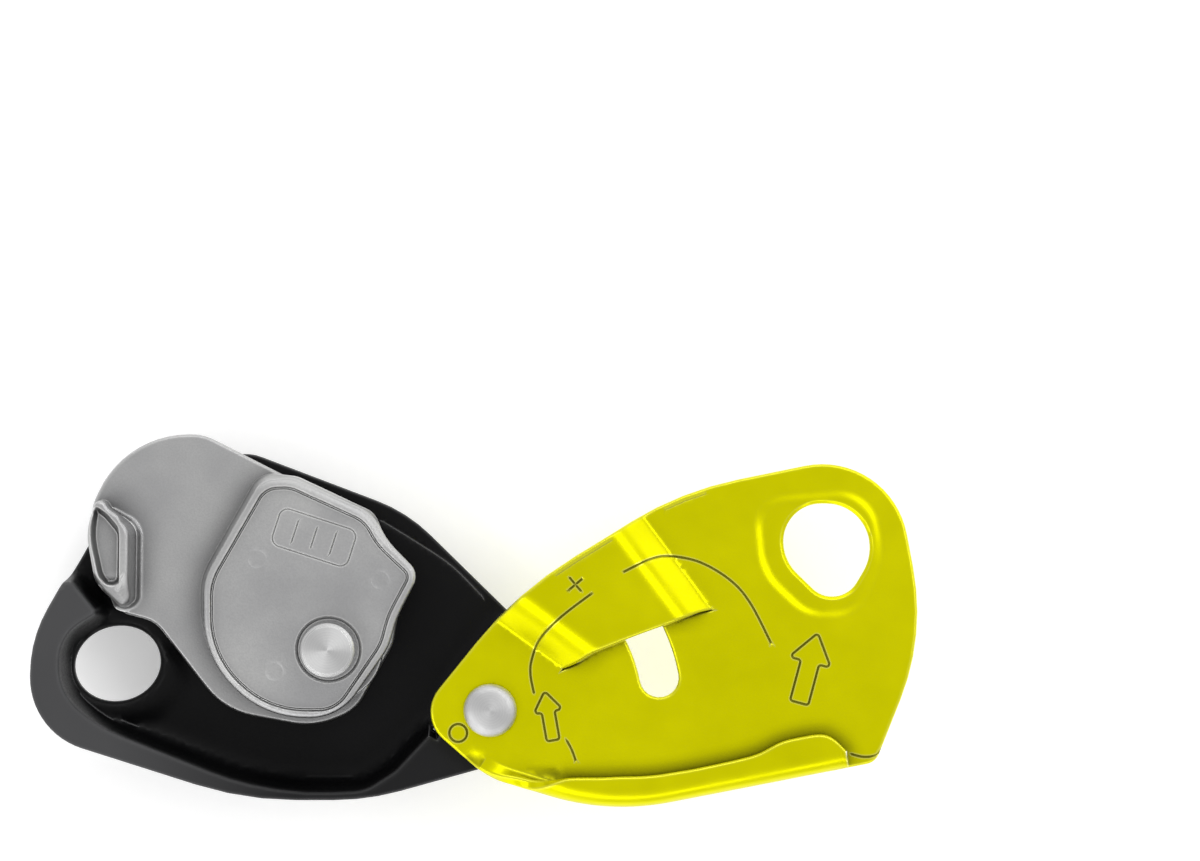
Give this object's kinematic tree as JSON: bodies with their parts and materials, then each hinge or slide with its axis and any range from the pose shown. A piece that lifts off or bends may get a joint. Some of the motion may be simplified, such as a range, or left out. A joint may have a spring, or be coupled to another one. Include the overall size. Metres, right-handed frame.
{
  "type": "belay device",
  "caption": "Assisted-braking belay device lying open: fixed plate with a tall rim, a steel cam with a thumb tab, a swinging side plate, a folding handle on the back.",
  "frame": {"origin": "on the cam axle's axis, at the rear end of the axle, which is the plane the device rests on", "axes": "+Z out of the front of the device along the cam axle, +X along the opened device towards the moving plate's free end, +Y towards the side where the rope leaves"},
  "size_m": [0.1599, 0.0669, 0.0324],
  "materials": {
    "black_aluminium": "black anodised, satin",
    "lime_aluminium": "lime-yellow anodised, satin",
    "cast_steel": "bead-blasted stainless casting",
    "turned_steel": "turned and polished stainless",
    "spring_steel": "spring steel",
    "bronze": "sintered bronze",
    "black_nylon": "moulded glass-filled nylon"
  },
  "bodies": {
    "frame": {"fixed_side_plate": "black_aluminium", "friction_plate": "turned_steel", "friction_rivet_upper": "turned_steel", "friction_rivet_lower": "turned_steel", "plate_pivot_pin": "turned_steel", "pivot_rear_washer": "turned_steel", "plate_wave_washer": "spring_steel", "cam_axle": "turned_steel", "axle_rear_washer": "turned_steel", "cam_stop_pin": "turned_steel", "handle_stop_pin": "turned_steel", "cam_return_spring": "spring_steel"},
    "moving_plate": {"moving_side_plate": "lime_aluminium", "plate_bush": "bronze"},
    "cam": {"cam": "cast_steel", "cam_bush": "bronze"},
    "handle_arm": {"handle_arm": "cast_steel", "arm_bush": "bronze", "handle_pin": "turned_steel", "drive_pin": "turned_steel", "handle_return_spring": "spring_steel"},
    "lever": {"handle_lever": "black_nylon", "lever_bush": "bronze", "lever_wave_washer": "spring_steel"}
  },
  "joints": [
    {"name": "plate_swing", "type": "hinge", "parent": "frame", "child": "moving_plate", "pos_m": [0.02925, -0.0108, 0.027], "axis": [0, 0, 1], "range_deg": [0, 148]},
    {"name": "cam_pivot", "type": "hinge", "parent": "frame", "child": "cam", "pos_m": [0, 0, 0.018], "axis": [0, 0, 1], "range_deg": [-28, 0], "stiffness_Nm_per_rad": 0.03, "springref_deg": 17.19},
    {"name": "handle_swing", "type": "hinge", "parent": "frame", "child": "handle_arm", "pos_m": [0, 0, 0.006], "axis": [0, 0, 1], "range_deg": [0, 70], "stiffness_Nm_per_rad": 0.01, "springref_deg": -17.19},
    {"name": "handle_fold", "type": "hinge", "parent": "handle_arm", "child": "lever", "pos_m": [0.004, 0.02, 0.0025], "axis": [0, 0, 1], "range_deg": [-80, 0]}
  ]
}
